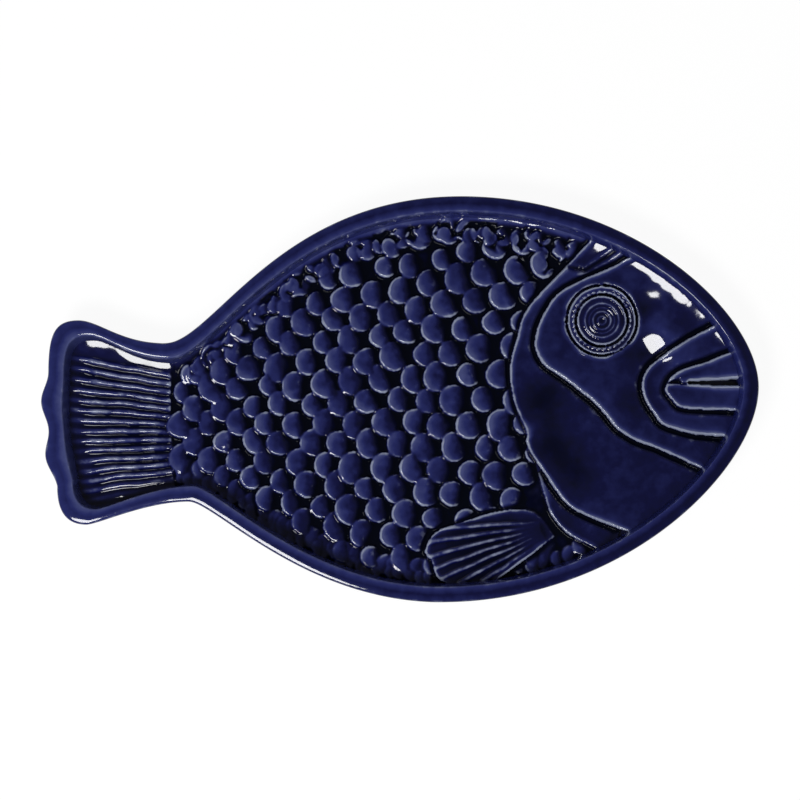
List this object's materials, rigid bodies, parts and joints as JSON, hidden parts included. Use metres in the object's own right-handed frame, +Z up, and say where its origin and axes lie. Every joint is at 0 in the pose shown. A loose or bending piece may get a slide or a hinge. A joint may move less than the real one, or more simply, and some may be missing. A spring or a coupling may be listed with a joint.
{
  "type": "fish shaped platter",
  "caption": "Deep fish-shaped ceramic serving platter with a rounded lip, a foot ring and a fish modelled in relief on its floor, under a glossy cobalt glaze.",
  "frame": {"origin": "middle of the bounding box's base, on the table under the platter", "axes": "+X from the tail to the mouth, +Y to the fish's back, +Z up out of the dish"},
  "size_m": [0.36, 0.204, 0.028],
  "materials": {
    "glaze": "glossy cobalt glaze, darker where it pools, paler where it thins on edges",
    "clay": "bare fired clay, matt"
  },
  "bodies": {
    "root": {"dish": "glaze", "scales": "glaze", "tail_fan": "glaze", "gill_cover": "glaze", "nape": "glaze", "cheek": "glaze", "eye_ring": "glaze", "eye": "glaze", "outer_lip": "glaze", "upper_lip": "glaze", "lower_lip": "glaze", "throat_fold": "glaze", "fin": "glaze", "foot_ring": "clay"}
  },
  "joints": []
}
